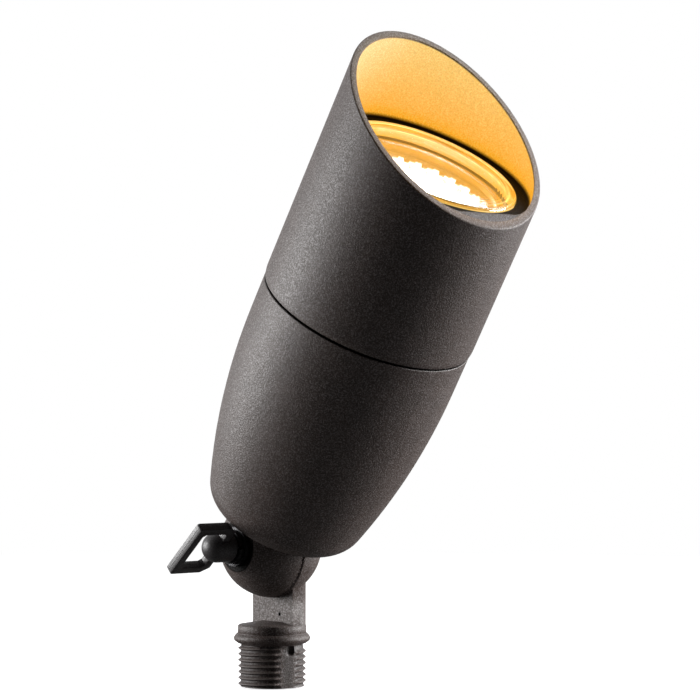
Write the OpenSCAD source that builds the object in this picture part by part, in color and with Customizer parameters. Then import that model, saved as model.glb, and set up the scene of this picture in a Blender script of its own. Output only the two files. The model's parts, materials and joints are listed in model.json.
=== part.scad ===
// Garden spotlight on a serrated knuckle: a cast housing with a slant-cut cowl, a reflector lamp
// on a ceramic socket, and a threaded stem, held by a looped wing screw.
// Millimetres, +Z up. The origin is the centre of the stem's lower end, on its thread axis.
// The head leans towards +X and the wing screw points along -Y.

/* [Head] */
// Lean of the head from upright as it stands, in degrees
head_lean = 32.5; // [0:0.5:60]
// Distance along the head from the tilt pivot to the seam between housing and cowl
seam_h = 83.6; // [80:0.1:110]
// Distance from the tilt pivot to the housing's flat underside
base_h = 8.3; // [7.5:0.1:9]
// Outer radius of the housing at the seam
housing_r = 32.65; // [31.5:0.05:36]
// Wall thickness of the housing
housing_wall = 3; // [2.5:0.1:3.5]
// Length of straight wall under the seam, before the side curves in
straight_h = 12.7; // [5:0.1:20]
// Radius of the long curve of the housing's side
belly_r = 202; // [190:1:260]
// Radius of the round between the side and the underside
base_round = 9.5; // [8:0.5:12]
// Height of the neck that the cowl goes over
neck_h = 12; // [10:0.5:16]
// Wall thickness of the neck
neck_wall = 2.8; // [2.4:0.1:3.4]
// Thickness of the sealing ring in the neck's groove
neck_ring_d = 1.8; // [1.6:0.1:2.2]
// Height of the neck's groove above the seam
neck_groove_h = 3.4; // [3:0.1:5]

/* [Cowl] */
// How far the cowl stands proud of the housing at the seam
seam_step = 0.3; // [0.2:0.05:1]
// Open gap at the seam
seam_gap = 0.45; // [0.2:0.05:0.6]
// Height of the chamfer at the cowl's lower edge
seam_chamfer = 1.6; // [1:0.1:3]
// Distance from the seam to the middle of the slanted rim
cowl_h = 62; // [58:0.5:80]
// Slant of the rim, in degrees, with the long side at the back
rim_angle = 24; // [0:1:28]
// Wall thickness of the cowl
cowl_wall = 2.2; // [1.8:0.1:2.6]
// How much smaller the cowl's outer radius is at its top
cowl_draft = 0.15; // [0:0.05:0.6]
// Height of the top of the inner ledge above the seam
ledge_h = 49.5; // [49:0.1:53]
// Width of the inner ledge
ledge_w = 3.65; // [3.4:0.05:4.5]
// Thickness of the inner ledge
ledge_t = 2; // [1.6:0.1:3]
// Radius of the fillet between the ledge and the wall
ledge_fillet = 1.1; // [0.5:0.1:2]

/* [Lens] */
// Thickness of the lens's flange
lens_flange_t = 2.2; // [1.6:0.1:3]
// How far the raised middle of the lens stands above the top of the ledge
lens_rise = 0.8; // [0:0.1:1.5]
// Radius of the rounded edge of the raised middle
lens_edge_round = 0.9; // [0.6:0.1:2]
// Thickness of the lens gasket
gasket_t = 1; // [0.6:0.1:1.5]
// Height of the ring that clamps the lens
clamp_ring_h = 3; // [2:0.1:4]
// Width of the ring that clamps the lens
clamp_ring_w = 4.5; // [3:0.1:5]

/* [Lamp] */
// Outer radius of the lamp's rim
lamp_r = 25; // [24:0.1:25.5]
// Gap between the lamp's front and the ring that clamps the lens
lamp_gap = 0.4; // [0.3:0.1:2]
// Depth of the lamp's reflector
bowl_depth = 26; // [22:0.5:27]
// Wall thickness of the reflector
bowl_wall = 1.3; // [1:0.1:1.8]
// Height of the reflector's rim
bowl_rim_h = 2.4; // [2:0.1:3]
// Thickness of the lamp's cover glass
cover_t = 1.1; // [0.8:0.1:1.5]
// Outer radius of the reflector's neck
bowl_neck_r = 7.3; // [6.8:0.1:8]
// Height of the lamp's ceramic base
lamp_base_h = 11.6; // [10:0.1:13]
// Distance between the lamp's pins
pin_pitch = 5.33; // [5:0.01:6]
// Radius of the lamp's pins
pin_r = 0.75; // [0.6:0.05:0.8]
// Length of the pins under the base
pin_len = 7; // [6:0.1:7.5]
// Radius of the burner inside the reflector
burner_r = 3.8; // [3:0.1:4.2]
// Length of the burner
burner_len = 19; // [14:0.5:20]

/* [Socket] */
// Length of the ceramic socket
socket_l = 24; // [22:0.5:26]
// Width of the ceramic socket
socket_w = 10; // [9:0.5:12]
// Height of the ceramic socket
socket_h = 9; // [8.5:0.5:10]
// Distance between the socket's screws
socket_pitch = 17; // [16:0.1:17.5]
// Radius of the socket's screws
socket_screw_r = 1.5; // [1:0.1:1.6]
// Thickness of the bracket under the socket
bracket_t = 1.2; // [1:0.1:1.6]
// Width of the bracket
bracket_w = 15; // [13:0.5:17]
// Height of the bracket's stiffening lips
bracket_lip_h = 4; // [2:0.5:6]
// Radius of the posts that the bracket stands on
post_r = 4; // [3.5:0.1:4.5]
// Radius of the bracket's screws
bracket_screw_r = 2; // [1.5:0.1:2.2]
// Length of the bracket's screws under their heads
bracket_screw_l = 9; // [7:0.5:12]
// Radius of the inner leads over their insulation
lead_r = 1; // [0.8:0.05:1.1]
// Distance between the leads where they enter the grommet
lead_pitch = 3; // [2.8:0.1:3.2]
// Height of the grommet above its seat
grommet_h = 3; // [2:0.5:4]

/* [Knuckle] */
// Height of the tilt pivot above the stem's lower end
pivot_h = 43.4; // [42.5:0.1:55]
// Radius of the knuckle
ball_r = 16.2; // [15.8:0.1:16.6]
// Distance from the stem's axis to the toothed joint face, towards the wing screw
split_y = 1.2; // [0.8:0.1:1.6]
// Free gap between the two toothed faces
face_gap = 0.1; // [0.08:0.01:0.3]
// Number of teeth round the joint face
tooth_count = 72; // [48:12:84]
// Depth of the grooves between the teeth
tooth_depth = 0.5; // [0.3:0.05:0.6]
// Inner radius of the toothed ring
tooth_ring_r = 12.6; // [12.4:0.1:13.2]
// Distance from the pivot to the flat that the washers press on
boss_face_y = 14.3; // [13.8:0.1:14.6]
// Radius of the boss round the screw
screw_boss_r = 5.2; // [5:0.1:5.5]
// Outer radius of the wire chamber in both halves
chamber_r = 9.4; // [9:0.1:9.6]
// Depth of the wire chamber in each half
chamber_depth = 6.3; // [5:0.1:7]
// Clearance between the knuckle and the pocket in the housing
pocket_gap = 0.4; // [0.3:0.05:0.6]
// Radius of the wire hole from the knuckle to the housing
wire_hole_r = 2.8; // [2.5:0.1:3]
// Middle radius of the seal between the two halves
seal_r = 11.1; // [10.9:0.05:11.2]
// Thickness of the seal between the two halves
seal_d = 1.5; // [1.2:0.1:1.6]

/* [Stem] */
// Radius of the male pipe thread over its crests
thread_r = 10.45; // [10.2:0.05:10.6]
// Length of the thread
thread_l = 12.2; // [11:0.1:12.4]
// Depth of the relief between thread and flange
relief_depth = 0.9; // [0.4:0.1:1.2]
// Distance from the axis to the flats along the thread's parting lines
thread_flat = 9.75; // [9.7:0.05:10.2]
// Direction of those flats, in degrees from +X
thread_flat_turn = -10; // [-45:1:45]
// Radius of the rounded flange
flange_r = 11.85; // [11.4:0.05:12.5]
// Height of the flange's underside above the stem's lower end
flange_z = 13.3; // [13:0.1:14]
// Thickness of the flange
flange_t = 2.9; // [2.4:0.1:3.2]
// Radius of the collar above the flange
collar_r = 10.54; // [10.5:0.02:10.8]
// Height of the collar's edge above the stem's lower end
collar_z = 18.9; // [18.5:0.1:21]
// Rise of the collar's coned top
collar_rise = 1; // [0.4:0.1:1.5]
// Half the width of the flat neck under the knuckle
neck_half_w = 9.4; // [7.5:0.1:9.8]
// How far the neck's round back lies inside the collar's edge
neck_back_inset = 0.15; // [0.1:0.05:1]
// Distance that the neck's flat face lies behind the stem's axis
neck_face_y = 0.2; // [0:0.1:1]
// Radius of the bore in the threaded end
inlet_r = 6; // [5.5:0.1:6.4]
// Depth of that bore
inlet_depth = 15; // [12:0.5:16]
// Radius of the wire bore through the neck
wire_bore_r = 3.3; // [2.8:0.1:3.4]
// Distance of the wire bore behind the stem's axis
wire_bore_y = 5; // [4.8:0.1:5.2]
// Radius of the lead's hole in the inlet seal
lead_hole_r = 3.2; // [2.5:0.1:3.5]
// Height of the inlet seal
inlet_seal_h = 8; // [6:0.5:10]
// Depth that the inlet seal sits inside the bore
inlet_seal_z = 0.6; // [0.3:0.1:2]

/* [Wing screw] */
// Radius of the screw
screw_r = 3; // [2.5:0.1:3.2]
// Clearance round the screw
screw_gap = 0.07; // [0.03:0.01:0.1]
// Turn of the wing's loop from level, in degrees
wing_turn = 42; // [0:1:180]
// Length of the wing's loop
loop_l = 20.6; // [18:0.1:21]
// Distance from the pivot to the outer end of the loop
loop_end = 34.9; // [33:0.1:40]
// Depth of the loop along the screw
loop_d = 14.3; // [10:0.1:14.5]
// Width of the loop's bars
bar_w = 2.6; // [2:0.1:2.8]
// Thickness of the loop
loop_t = 2.75; // [2:0.05:3.5]
// Radius of the two corners at the loop's outer end
loop_round = 0.8; // [0.5:0.1:2.5]
// Slant of the two corners next to the housing, as length and depth
loop_slant_l = 2.1; // [1.6:0.1:4]
loop_slant_d = 2.7; // [2:0.1:4]
// Chamfer of the window's corners
window_chamfer = 0.9; // [0.4:0.1:1.5]
// Radius of the wing's hub
hub_r = 4.6; // [4.2:0.1:4.8]
// Height of the hub's dome above the loop's inner bar
hub_rise = 3.4; // [2.6:0.1:4]
// Thickness of the flat washer
washer_t = 1.2; // [1:0.1:1.5]
// Outer radius of the flat washer
washer_r = 6; // [5.6:0.1:6.5]
// Thickness of the spring washer
spring_t = 1.6; // [1.2:0.1:1.8]
// Outer radius of the spring washer
spring_r = 5.2; // [4.8:0.1:5.6]
// Outer radius of the threaded insert
insert_r = 4.3; // [4:0.1:4.4]
// Length of the threaded insert
insert_l = 10.5; // [9:0.5:11]

/* [Hidden] */
$fn = 96;
eps = 0.01;
seat_gap = 0.02;
free_gap = 0.3;
slide_gap = 0.1;
big = 200;
coat = [0.25, 0.22, 0.215];

cowl_r = housing_r + seam_step;
cowl_ir = cowl_r - cowl_wall;
neck_r = cowl_ir - slide_gap;
neck_ir = neck_r - neck_wall;
neck_edge = 0.6;
groove_w = neck_ring_d + 0.3;
groove_d = neck_ring_d + free_gap + 2 * seat_gap - slide_gap;
straight_z = seam_h - straight_h;
dome_r = ball_r + pocket_gap + housing_wall + split_y;
trough_z = base_h + housing_wall + 0.8;

ledge_z = seam_h + ledge_h;
ledge_ir = cowl_ir - ledge_w;
lens_r = ledge_ir - free_gap;
flange_top_z = ledge_z - ledge_t - gasket_t;
flange_bottom_z = flange_top_z - lens_flange_t;
lens_flange_r = cowl_ir - free_gap;
gasket_ir = ledge_ir + free_gap;
clamp_ring_r = cowl_ir - slide_gap;
clamp_ring_ir = clamp_ring_r - clamp_ring_w;
cowl_low_z = seam_h + seam_gap;
cowl_top_z = seam_h + cowl_h + cowl_r * tan(rim_angle) + 1;

lamp_front_z = flange_bottom_z - clamp_ring_h - lamp_gap;
bowl_low_z = lamp_front_z - bowl_depth;
bowl_in_r = lamp_r - 2.2;
bowl_neck_ir = bowl_neck_r - bowl_wall;
bowl_neck_h = 3.4;
bowl_focus = (bowl_in_r * bowl_in_r - bowl_neck_ir * bowl_neck_ir) / (4 * (bowl_depth - bowl_rim_h));
base_top_z = bowl_low_z - seat_gap;
base_low_z = base_top_z - lamp_base_h;
base_collar_h = 4.6;
base_collar_r = bowl_neck_r + 1.9;
base_l = 15;
base_w = 9.6;
base_recess_z = bowl_low_z - bowl_neck_h - seat_gap;
pin_top_z = base_low_z + 6;
pin_low_z = base_low_z - pin_len;

socket_top_z = base_low_z - seat_gap;
socket_low_z = socket_top_z - socket_h;
contact_r = 1.35;
contact_top_z = socket_top_z - 1.5;
contact_low_z = socket_low_z + 0.6;
socket_head_r = 2.7;
socket_head_h = 1.7;
socket_screw_l = socket_h + bracket_t + 1.4;
bracket_low_z = socket_low_z - bracket_t;
post_x = neck_ir - post_r - 4;
post_web_t = 2.4;
bracket_head_r = 3.6;
bracket_head_h = 2.2;
bracket_window_r = 4.6;
screw_hole_extra = 2;

grommet_y = -(split_y + face_gap / 2 + chamber_depth / 2);
grommet_r = 3.6;
grommet_flange_r = 5;
grommet_flange_t = 1.2;
grommet_seat_z = dome_r + 1;
grommet_low_z = grommet_seat_z - 4.5;
grommet_boss_r = grommet_flange_r + 1.2;
lead_hole_extra = 0.12;
lead_bend_z = 12;

half_gap = face_gap / 2;
seal_groove_w = seal_d + 0.3;
seal_groove_d = seal_d + 2 * seat_gap;
tooth_side = tooth_depth * sqrt(2);
tooth_len = ball_r - tooth_ring_r + 2;
screw_hole_r = screw_r + screw_gap;
insert_top = split_y - half_gap - 0.6;
insert_low = insert_top - insert_l;
stud_end = insert_low + 1;
drill_end = insert_low - 1.6;

relief_r = thread_r - relief_depth;
relief_slope_h = 0.5;
flange_foot_h = 0.3;
flat_top_z = (thread_l + relief_slope_h + flange_z - flange_foot_h) / 2;
notch_top_z = flange_z - flange_foot_h - 0.1;
thread_chamfer = 0.7;
notch_w = 2.2;
notch_h = 3.2;
notch_r = relief_r - 0.6;
collar_groove = 0.25;
neck_top_z = pivot_h - ball_r * 0.63;

washer_low = boss_face_y + slide_gap;
spring_low = washer_low + washer_t;
hub_low = spring_low + spring_t + slide_gap;
loop_low = loop_end - loop_d;
hub_tip = loop_low + bar_w + hub_rise;
hub_edge = 0.4;
stud_top = hub_tip - 2.5;
spring_cut = 1;
spring_cut_lean = 20;

function arc(c, r, a0, a1, n) =
  [for (i = [0:n]) [c[0] + r * cos(a0 + (a1 - a0) * i / n), c[1] + r * sin(a0 + (a1 - a0) * i / n)]];
function box_points(l, w, x = 0, y = 0) =
  [[x - l / 2, y - w / 2], [x + l / 2, y - w / 2], [x + l / 2, y + w / 2], [x - l / 2, y + w / 2]];

// The housing's side: a straight wall, one long arc inwards, and a round to the flat underside
belly_x = housing_r - belly_r;
round_z = base_h + base_round;
round_x = belly_x + sqrt(pow(belly_r - base_round, 2) - pow(straight_z - round_z, 2));
round_a = -atan2(straight_z - round_z, round_x - belly_x);
function belly(inset) = concat(
  arc([round_x, round_z], base_round - inset, -90, round_a, 12),
  arc([belly_x, straight_z], belly_r - inset, round_a, 0, 16)
);

// Places a child on the knuckle's centre, turned with the head
module at_pivot() {
  translate([0, 0, pivot_h])
    rotate([0, head_lean, 0])
      children();
}

// Places a child on the head's own axis, which runs in the joint face
module on_head() {
  at_pivot()
    translate([0, -split_y, 0])
      children();
}

// Places a child so that its +Z points along the wing screw, outwards from the pivot
module on_screw() {
  translate([0, 0, pivot_h])
    rotate([90, 0, 0])
      children();
}

module ring(r_out, r_in, z0, h) {
  translate([0, 0, z0])
    difference() {
      cylinder(h = h, r = r_out);
      translate([0, 0, -eps])
        cylinder(h = h + 2 * eps, r = r_in);
    }
}

module bar_round(l, w, h) {
  cube([l - w, w, h], center = true);
  for (s = [-1, 1])
    translate([s * (l - w) / 2, 0, -h / 2])
      cylinder(h = h, r = w / 2);
}

// V grooves cut into a joint face that lies at the height z, from the toothed ring outwards
module tooth_grooves(z) {
  for (i = [0:tooth_count - 1])
    rotate([0, 0, (i + 0.5) * 360 / tooth_count])
      translate([tooth_ring_r + tooth_len / 2, 0, z])
        rotate([45, 0, 0])
          cube([tooth_len, tooth_side, tooth_side], center = true);
}

// The ring-shaped wire chamber round the screw, from height z0 to z1 along the screw
module wire_chamber(z0, z1) {
  ring(chamber_r, screw_boss_r, z0, z1 - z0);
}

// Outside of the housing with its neck, as one solid of revolution
module housing_outer() {
  rotate_extrude()
    polygon(concat(
      [[0, base_h]],
      belly(0),
      [
        [housing_r, seam_h - 0.3],
        [housing_r - 0.3, seam_h],
        [neck_r, seam_h],
        [neck_r, seam_h + neck_h - neck_edge],
        [neck_r - neck_edge, seam_h + neck_h],
        [0, seam_h + neck_h]
      ]
    ));
}

// Inside of the housing: its floor is a dome over the knuckle's pocket, with a trough round it
module housing_cavity() {
  dome_a = asin(trough_z / dome_r);
  wall_low = [for (p = belly(housing_wall)) if (p[1] > trough_z + 1 && p[0] > 0) p];
  rotate_extrude()
    polygon(concat(
      arc([0, 0], dome_r, 90, dome_a, 14),
      [[wall_low[0][0] - 1, trough_z]],
      wall_low,
      [
        [housing_r - housing_wall, seam_h - neck_wall - 1],
        [neck_ir, seam_h - neck_wall + 0.6],
        [neck_ir, seam_h + neck_h + 1],
        [0, seam_h + neck_h + 1]
      ]
    ));
}

// Posts for the bracket, each with a web to the wall
module bracket_posts() {
  intersection() {
    union() {
      for (s = [-1, 1]) {
        translate([s * post_x, 0, trough_z])
          cylinder(h = bracket_low_z - trough_z, r = post_r);
        translate([s * (post_x + cowl_r / 2), 0, (trough_z + bracket_low_z - 1) / 2])
          cube([cowl_r, post_web_t, bracket_low_z - 1 - trough_z], center = true);
      }
    }
    housing_outer();
  }
}

// Head half of the knuckle: it lies in front of the joint face and ends in the screw's flat
module head_half_ball() {
  intersection() {
    sphere(r = ball_r);
    translate([0, 0, (split_y + half_gap + boss_face_y) / 2])
      cube([big, big, boss_face_y - split_y - half_gap], center = true);
  }
}

module housing() {
  color(coat)
    difference() {
      union() {
        on_head()
          difference() {
            housing_outer();
            housing_cavity();
          }
        on_head()
          bracket_posts();
        at_pivot()
          rotate([90, 0, 0])
            head_half_ball();
        at_pivot()
          translate([0, grommet_y, base_h + 1])
            cylinder(h = grommet_seat_z - base_h - 1, r = grommet_boss_r);
      }
      // Pocket for the stem's half of the knuckle, behind the joint face
      at_pivot()
        intersection() {
          translate([0, -split_y, 0])
            sphere(r = ball_r + pocket_gap);
          translate([-big / 2, -split_y - half_gap, -big / 2])
            cube(big);
        }
      // Screw hole, wire chamber and teeth of the joint face
      at_pivot()
        rotate([90, 0, 0]) {
          cylinder(h = big / 2, r = screw_hole_r);
          wire_chamber(0, split_y + half_gap + chamber_depth);
          tooth_grooves(split_y + half_gap);
        }
      // Wire hole up into the housing, with the grommet's seat
      at_pivot()
        translate([0, grommet_y, screw_boss_r + 1])
          cylinder(h = big / 4, r = wire_hole_r);
      at_pivot()
        translate([0, grommet_y, grommet_low_z])
          cylinder(h = big / 4, r = grommet_r);
      // Groove of the neck's sealing ring
      on_head()
        ring(cowl_r, neck_r - groove_d, seam_h + neck_groove_h, groove_w);
      // Screw holes of the bracket
      on_head()
        for (s = [-1, 1])
          translate([s * post_x, 0, bracket_low_z - bracket_screw_l - screw_hole_extra])
            cylinder(h = bracket_screw_l + screw_hole_extra + 1, r = bracket_screw_r + seat_gap);
    }
}

module housing_grommet() {
  color("dimgray")
    at_pivot()
      translate([0, grommet_y, 0])
        difference() {
          union() {
            translate([0, 0, grommet_low_z])
              cylinder(h = grommet_seat_z - grommet_low_z + grommet_h, r = grommet_r - seat_gap);
            translate([0, 0, grommet_seat_z])
              cylinder(h = grommet_flange_t, r = grommet_flange_r);
          }
          for (s = [-1, 1])
            translate([s * lead_pitch / 2, 0, grommet_low_z - 1])
              cylinder(h = big / 4, r = lead_r + lead_hole_extra);
        }
}

module socket_bracket() {
  color("silver")
    on_head()
      difference() {
        union() {
          translate([0, 0, bracket_low_z + bracket_t / 2])
            cube([2 * post_x + 2 * post_r, bracket_w, bracket_t], center = true);
          for (s = [-1, 1])
            translate([0, s * (bracket_w - bracket_t) / 2, bracket_low_z + bracket_lip_h / 2])
              cube([2 * (post_x - post_r - 1), bracket_t, bracket_lip_h], center = true);
        }
        for (s = [-1, 1]) {
          translate([s * post_x, 0, bracket_low_z - 1])
            cylinder(h = bracket_t + 2, r = bracket_screw_r + slide_gap);
          translate([s * socket_pitch / 2, 0, bracket_low_z - 1])
            cylinder(h = bracket_t + 2, r = socket_screw_r + seat_gap);
        }
        translate([0, 0, bracket_low_z - 1])
          cylinder(h = bracket_t + 2, r = bracket_window_r);
      }
}

// Pan head screw with a slot, its head standing on z = 0 and its shank pointing down
module pan_screw(shank_r, shank_l, head_r, head_h) {
  difference() {
    union() {
      translate([0, 0, -shank_l])
        cylinder(h = shank_l + eps, r = shank_r);
      cylinder(h = head_h * 0.6, r = head_r);
      translate([0, 0, head_h * 0.6])
        cylinder(h = head_h * 0.4, r1 = head_r, r2 = head_r * 0.8);
    }
    translate([0, 0, head_h])
      cube([3 * head_r, head_r * 0.28, head_h], center = true);
  }
}

module bracket_screws() {
  color("silver")
    on_head()
      for (s = [-1, 1])
        translate([s * post_x, 0, bracket_low_z + bracket_t])
          pan_screw(bracket_screw_r, bracket_screw_l, bracket_head_r, bracket_head_h);
}

module lamp_socket() {
  color("ivory")
    on_head()
      difference() {
        translate([0, 0, (socket_top_z + socket_low_z) / 2])
          bar_round(socket_l, socket_w, socket_h);
        for (s = [-1, 1]) {
          translate([s * pin_pitch / 2, 0, socket_low_z - 1])
            cylinder(h = contact_top_z - socket_low_z + 1 + seat_gap, r = contact_r + seat_gap);
          translate([s * pin_pitch / 2, 0, socket_low_z])
            cylinder(h = socket_h + 1, r = pin_r + slide_gap);
          translate([s * socket_pitch / 2, 0, socket_low_z - 1])
            cylinder(h = socket_h + 2, r = socket_screw_r + slide_gap);
          translate([s * socket_pitch / 2, 0, socket_top_z - socket_head_h - 0.4])
            cylinder(h = socket_h, r = socket_head_r + slide_gap);
        }
      }
}

module socket_screws() {
  color("silver")
    on_head()
      for (s = [-1, 1])
        translate([s * socket_pitch / 2, 0, socket_top_z - socket_head_h - 0.4])
          pan_screw(socket_screw_r, socket_screw_l - socket_head_h, socket_head_r, socket_head_h);
}

module socket_contacts() {
  color("goldenrod")
    on_head()
      for (s = [-1, 1])
        translate([s * pin_pitch / 2, 0, 0])
          ring(contact_r, pin_r + seat_gap, contact_low_z, contact_top_z - contact_low_z);
}

// One lead: eight-sided rings along a hand-set route from its contact to the grommet
lead_sides = 8;
lead_route_y = grommet_y + split_y;
function lead_points(s) = [
  [s * pin_pitch / 2, 0, contact_low_z - slide_gap],
  [s * pin_pitch / 2, 0, contact_low_z - lead_bend_z],
  [s * (pin_pitch + lead_pitch) / 4, lead_route_y / 3, contact_low_z - 2 * lead_bend_z],
  [s * (pin_pitch + lead_pitch) / 4, 2 * lead_route_y / 3, grommet_seat_z + 1.6 * lead_bend_z],
  [s * lead_pitch / 2, lead_route_y, grommet_seat_z + lead_bend_z / 1.5],
  [s * lead_pitch / 2, lead_route_y, grommet_low_z]
];
module lead(s) {
  route = lead_points(s);
  n = len(route);
  points = [for (p = route) for (k = [0:lead_sides - 1])
    p + lead_r * [cos(k * 360 / lead_sides), sin(k * 360 / lead_sides), 0]];
  sides = [for (i = [0:n - 2]) for (k = [0:lead_sides - 1])
    let (a = i * lead_sides, b = (k + 1) % lead_sides)
    [a + k, a + lead_sides + k, a + lead_sides + b, a + b]];
  start = [for (k = [0:lead_sides - 1]) k];
  end = [for (k = [lead_sides - 1:-1:0]) (n - 1) * lead_sides + k];
  polyhedron(points = points, faces = concat([start], sides, [end]));
}

module socket_leads() {
  color("whitesmoke")
    on_head()
      for (s = [-1, 1])
        lead(s);
}

module lamp_base() {
  color("ivory")
    on_head()
      difference() {
        union() {
          translate([-base_l / 2, -base_w / 2, base_low_z])
            cube([base_l, base_w, lamp_base_h - base_collar_h + eps]);
          translate([0, 0, base_top_z - base_collar_h])
            cylinder(h = base_collar_h, r = base_collar_r);
        }
        translate([0, 0, base_recess_z])
          cylinder(h = bowl_depth, r = bowl_neck_r + slide_gap);
        for (s = [-1, 1])
          translate([s * pin_pitch / 2, 0, base_low_z - 1])
            cylinder(h = pin_top_z - base_low_z + 1 + seat_gap, r = pin_r + seat_gap);
      }
}

module lamp_pins() {
  color("silver")
    on_head()
      for (s = [-1, 1])
        translate([s * pin_pitch / 2, 0, pin_low_z])
          cylinder(h = pin_top_z - pin_low_z, r = pin_r);
}

// Quartz burner: a straight tube that stands in the base and closes in a round tip
module lamp_burner() {
  color("lightyellow")
    on_head()
      rotate_extrude()
        polygon(concat(
          [[0, base_recess_z], [burner_r, base_recess_z]],
          arc([0, base_recess_z + burner_len - burner_r], burner_r, 0, 90, 8)
        ));
}

// Reflector: a parabola in section, with a short neck below and a flat rim at the front
module lamp_reflector() {
  steps = 14;
  bowl_h = bowl_depth - bowl_rim_h;
  inner = [for (i = [0:steps])
    let (z = bowl_h * i / steps)
    [sqrt(bowl_neck_ir * bowl_neck_ir + 4 * bowl_focus * z), bowl_low_z + z]];
  outer = [for (i = [steps:-1:0])
    let (z = bowl_h * i / steps)
    [sqrt(bowl_neck_ir * bowl_neck_ir + 4 * bowl_focus * z) + bowl_wall, bowl_low_z + z]];
  color("gainsboro")
    on_head()
      rotate_extrude()
        polygon(concat(
          [[bowl_neck_ir, bowl_low_z - bowl_neck_h]],
          inner,
          [
            [bowl_in_r, lamp_front_z - cover_t - seat_gap],
            [bowl_in_r + 0.9, lamp_front_z - cover_t - seat_gap],
            [bowl_in_r + 0.9, lamp_front_z],
            [lamp_r, lamp_front_z],
            [lamp_r, lamp_front_z - bowl_rim_h]
          ],
          outer,
          [[bowl_neck_r, bowl_low_z - bowl_neck_h]]
        ));
}

module lamp_cover_glass() {
  color([0.85, 0.92, 0.95, 0.4])
    on_head()
      translate([0, 0, lamp_front_z - cover_t])
        cylinder(h = cover_t, r = bowl_in_r + 0.9 - seat_gap);
}

module neck_o_ring() {
  color("black")
    on_head()
      translate([0, 0, seam_h + neck_groove_h + groove_w / 2])
        rotate_extrude()
          translate([neck_r - groove_d + seat_gap + neck_ring_d / 2, 0])
            circle(d = neck_ring_d, $fn = 32);
}

// Cowl: a tube with a slight draft, cut slantwise, with the ledge that the lens seats under
module cowl() {
  top_r = cowl_r - cowl_draft;
  ledge_low_z = ledge_z - ledge_t;
  color(coat)
    on_head()
      difference() {
        rotate_extrude()
          polygon(concat(
            [
              [cowl_ir, cowl_low_z],
              [cowl_r - seam_step, cowl_low_z],
              [cowl_r, cowl_low_z + seam_chamfer],
              [top_r, cowl_top_z],
              [cowl_ir, cowl_top_z]
            ],
            arc([cowl_ir - ledge_fillet, ledge_z + ledge_fillet], ledge_fillet, 0, -90, 8),
            [[ledge_ir, ledge_z], [ledge_ir, ledge_low_z], [cowl_ir, ledge_low_z]]
          ));
        translate([0, 0, seam_h + cowl_h])
          rotate([0, rim_angle, 0])
            translate([0, 0, big / 2])
              cube([big, big, big], center = true);
      }
}

// Lens: a thick pressed disc with a flange under the ledge and a round-edged raised middle
module lens() {
  top_z = ledge_z + lens_rise;
  color([1, 0.8, 0.45, 0.4])
    on_head()
      rotate_extrude()
        polygon(concat(
          [[0, flange_bottom_z], [lens_flange_r, flange_bottom_z], [lens_flange_r, flange_top_z]],
          [[lens_r, flange_top_z]],
          arc([lens_r - lens_edge_round, top_z - lens_edge_round], lens_edge_round, 0, 90, 8),
          [[0, top_z]]
        ));
}

module lens_gasket() {
  color("black")
    on_head()
      ring(lens_flange_r, gasket_ir, flange_top_z, gasket_t);
}

module lens_clamp_ring() {
  color("dimgray")
    on_head()
      difference() {
        ring(clamp_ring_r, clamp_ring_ir, flange_bottom_z - clamp_ring_h, clamp_ring_h);
        for (a = [0:90:270])
          rotate([0, 0, a])
            translate([cowl_ir, 0, flange_bottom_z - clamp_ring_h])
              cube([2 * ledge_w, 2, 2], center = true);
      }
}

// Stem half of the knuckle, behind the joint face, which its sphere is centred on
module stem_half_ball() {
  intersection() {
    translate([0, 0, split_y])
      sphere(r = ball_r);
    translate([0, 0, split_y - half_gap - big / 2])
      cube(big, center = true);
  }
}

// Flat-faced neck with straight sides and a round back, from the collar into the knuckle
module stem_neck() {
  neck_z = flange_z + flange_t;
  intersection() {
    translate([0, 0, neck_z])
      cylinder(h = neck_top_z - neck_z, r = collar_r - neck_back_inset);
    translate([-neck_half_w, neck_face_y, 0])
      cube([2 * neck_half_w, big, big]);
  }
}

// Threaded end, relief, rounded flange and coned collar as one solid of revolution
module stem_spigot() {
  flange_mid = flange_z + flange_t / 2;
  rotate_extrude()
    polygon([
      [0, 0],
      [thread_r - thread_chamfer, 0],
      [thread_r, thread_chamfer],
      [thread_r, thread_l],
      [relief_r, thread_l + relief_slope_h],
      [relief_r, flange_z - flange_foot_h],
      [flange_r - 1.3, flange_z],
      [flange_r - 0.25, flange_z + 0.8],
      [flange_r, flange_mid],
      [flange_r - 0.25, flange_mid + 0.7],
      [flange_r - 0.9, flange_z + flange_t],
      [collar_r - collar_groove, flange_z + flange_t],
      [collar_r, flange_z + flange_t + collar_groove],
      [collar_r, collar_z - 0.3],
      [collar_r - 0.3, collar_z],
      [collar_r * 0.4, collar_z + collar_rise],
      [0, collar_z + collar_rise]
    ]);
}

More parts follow.
